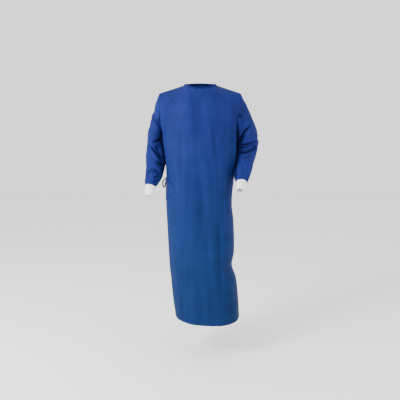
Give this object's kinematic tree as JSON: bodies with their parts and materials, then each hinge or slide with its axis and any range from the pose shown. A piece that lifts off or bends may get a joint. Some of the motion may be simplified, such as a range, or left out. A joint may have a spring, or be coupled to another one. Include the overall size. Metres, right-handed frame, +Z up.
{
  "type": "surgical gown",
  "caption": "Long-sleeved surgical gown worn open and hollow: blue front, wrapped back, set-in sleeves, white knitted cuffs, bound neckline, neck and waist ties.",
  "frame": {"origin": "middle of the neck opening, level with its two sides, where the wearer's shoulders hold the gown", "axes": "+Z up, -Y out of the front, +X to the wearer's left"},
  "size_m": [0.6484, 0.3128, 1.3596],
  "materials": {
    "gown_cloth": "matt royal blue nonwoven with a fine point-bonded emboss",
    "cuff_knit": "white rib knit",
    "binding": "dark blue folded nonwoven tape"
  },
  "bodies": {
    "root": {"front": "gown_cloth", "back_right": "gown_cloth", "back_left": "gown_cloth", "wrap_tab": "gown_cloth", "sleeve_right": "gown_cloth", "sleeve_left": "gown_cloth", "cuff_right": "cuff_knit", "cuff_left": "cuff_knit", "neck_binding": "binding", "neck_knot": "binding", "neck_loop_right": "binding", "neck_loop_left": "binding", "neck_tail_right": "binding", "neck_tail_left": "binding", "waist_knot": "binding", "waist_loop_front": "binding", "waist_loop_back": "binding", "waist_tail_front": "binding", "waist_tail_back": "binding"}
  },
  "joints": []
}
